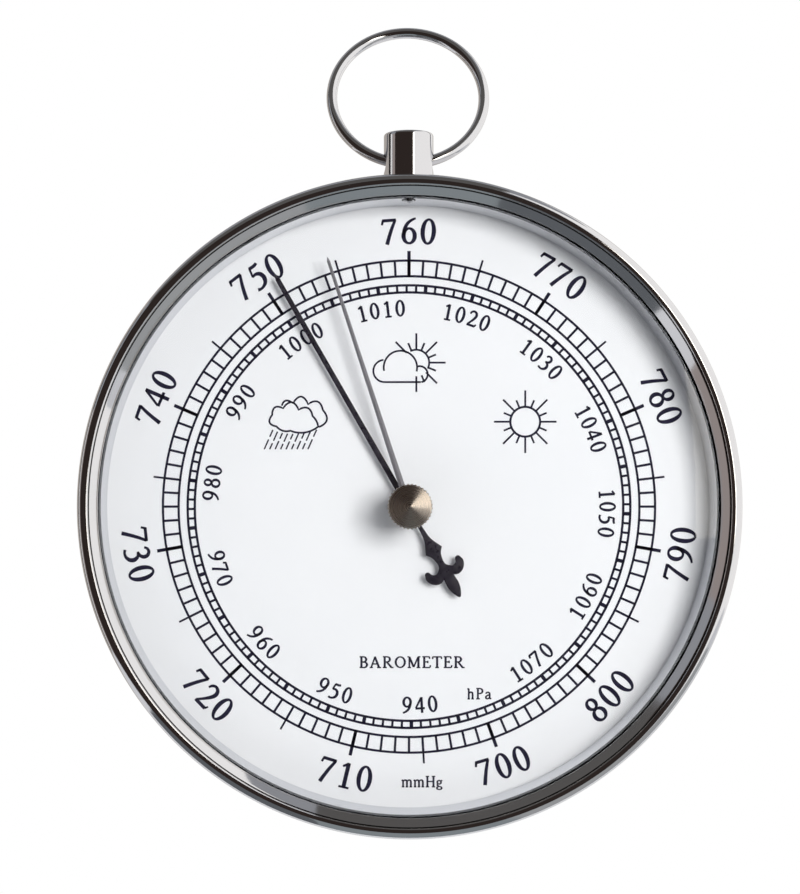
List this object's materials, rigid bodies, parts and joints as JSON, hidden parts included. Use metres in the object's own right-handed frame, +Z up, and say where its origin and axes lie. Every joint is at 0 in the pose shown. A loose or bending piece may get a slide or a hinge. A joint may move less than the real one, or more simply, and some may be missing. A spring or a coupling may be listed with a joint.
{
  "type": "aneroid barometer",
  "caption": "Round wall barometer in a chromed case with a hanging ring, glass, printed pressure dial, set hand with knob, and a geared aneroid capsule movement",
  "frame": {"origin": "centre of the flat back, on the dial's axis, in the plane that rests on the wall", "axes": "+Z up the dial towards the hanging post, -Y forward out of the dial, +X to the reader's right"},
  "size_m": [0.128, 0.0294, 0.1601],
  "materials": {
    "chrome": "mirror-bright chromium plate",
    "nickel": "face-turned nickel, fine concentric lines",
    "steel": "plain machined or rolled steel",
    "brass": "milled movement brass",
    "aluminium": "satin aluminium",
    "dial_enamel": "cool white satin enamel with dark printing",
    "hand_enamel": "black semi-gloss enamel",
    "glass": "clear flat instrument glass",
    "gasket_rubber": "matt black rubber",
    "spring_bronze": "rolled spring bronze"
  },
  "bodies": {
    "case": {"case_body": "chrome", "back_cover": "steel", "cover_screw_1": "steel", "cover_screw_2": "steel", "cover_screw_3": "steel", "glass_gasket": "gasket_rubber", "front_glass": "glass", "flange_ring": "aluminium", "dial_plate": "dial_enamel", "hanging_post": "chrome", "post_stud": "steel", "base_plate": "brass", "bridge_plate": "brass", "bridge_pillar_1": "brass", "bridge_pillar_2": "brass", "bridge_screw_1": "steel", "bridge_screw_2": "steel", "bridge_rear_screw_1": "steel", "bridge_rear_screw_2": "steel", "dial_pillar_1": "brass", "dial_pillar_2": "brass", "dial_pillar_3": "brass", "dial_pillar_screw_1": "steel", "dial_pillar_screw_2": "steel", "dial_pillar_screw_3": "steel", "rocker_bracket": "brass", "rocker_screw_1": "steel", "rocker_screw_2": "steel", "spring_bracket": "brass", "bracket_screw_1": "steel", "bracket_screw_2": "steel", "spring_screw_1": "steel", "spring_screw_2": "steel", "capsule_back": "spring_bronze", "capsule_rear_stud": "steel", "capsule_nut": "steel", "hairspring_stud": "brass"},
    "ring": {"hanging_ring": "chrome"},
    "set_hand": {"set_knob": "nickel", "set_spindle": "steel", "knob_washer": "gasket_rubber", "spring_washer": "spring_bronze", "set_hand_collet": "brass", "set_hand": "steel"},
    "indicator": {"indicating_hand": "hand_enamel", "hand_bush": "brass", "pinion_arbor": "steel", "hairspring_collet": "brass", "hairspring": "spring_bronze"},
    "sector": {"sector_gear": "brass", "sector_arbor": "steel", "tail_pin": "steel"},
    "rocker": {"rocker_shaft": "steel"},
    "spring": {"main_spring": "spring_bronze", "link_rod": "steel"},
    "capsule_top": {"capsule_front": "spring_bronze", "capsule_front_stud": "steel"},
    "adjuster": {"adjusting_screw": "steel"}
  },
  "joints": [
    {"name": "ring_swing", "type": "hinge", "parent": "case", "child": "ring", "pos_m": [0, -0.0196, 0.067], "axis": [1, 0, 0], "range_deg": [-79, 128]},
    {"name": "set_hand_turn", "type": "hinge", "parent": "case", "child": "set_hand", "pos_m": [0, -0.0198, 0], "axis": [0, 1, 0], "continuous": true},
    {"name": "sector_swing", "type": "hinge", "parent": "case", "child": "sector", "pos_m": [0, -0.0085, 0.0234], "axis": [0, 1, 0], "range_deg": [-13.61, 14.16], "stiffness_Nm_per_rad": 0.3},
    {"name": "hand_turn", "type": "hinge", "parent": "case", "child": "indicator", "pos_m": [0, -0.0085, 0], "axis": [0, 1, 0], "range_deg": [-170, 163.4], "deforming": ["hairspring"]},
    {"name": "rocker_swing", "type": "hinge", "parent": "case", "child": "rocker", "pos_m": [0, -0.0066, 0.0224], "axis": [1, 0, 0], "range_deg": [-10.3, 9.9]},
    {"name": "spring_bend", "type": "hinge", "parent": "case", "child": "spring", "pos_m": [-0.028, -0.0101, -0.0325], "axis": [1, 0, 0], "range_deg": [-0.78, 0.81]},
    {"name": "capsule_breath", "type": "slide", "parent": "case", "child": "capsule_top", "axis": [0, -1, 0], "range_m": [-0.00036, 0.00038]},
    {"name": "adjuster_turn", "type": "hinge", "parent": "case", "child": "adjuster", "pos_m": [-0.028, -0.005, -0.024], "axis": [0, 1, 0], "range_deg": [-360, 360]}
  ],
  "couplings": [
    {"joint": "hand_turn", "follows": "sector_swing", "ratio": -12},
    {"joint": "rocker_swing", "follows": "sector_swing", "ratio": -0.72},
    {"joint": "spring_bend", "follows": "sector_swing", "ratio": 0.0566},
    {"joint": "capsule_breath", "follows": "sector_swing", "m_per_rad": 0.0015}
  ]
}
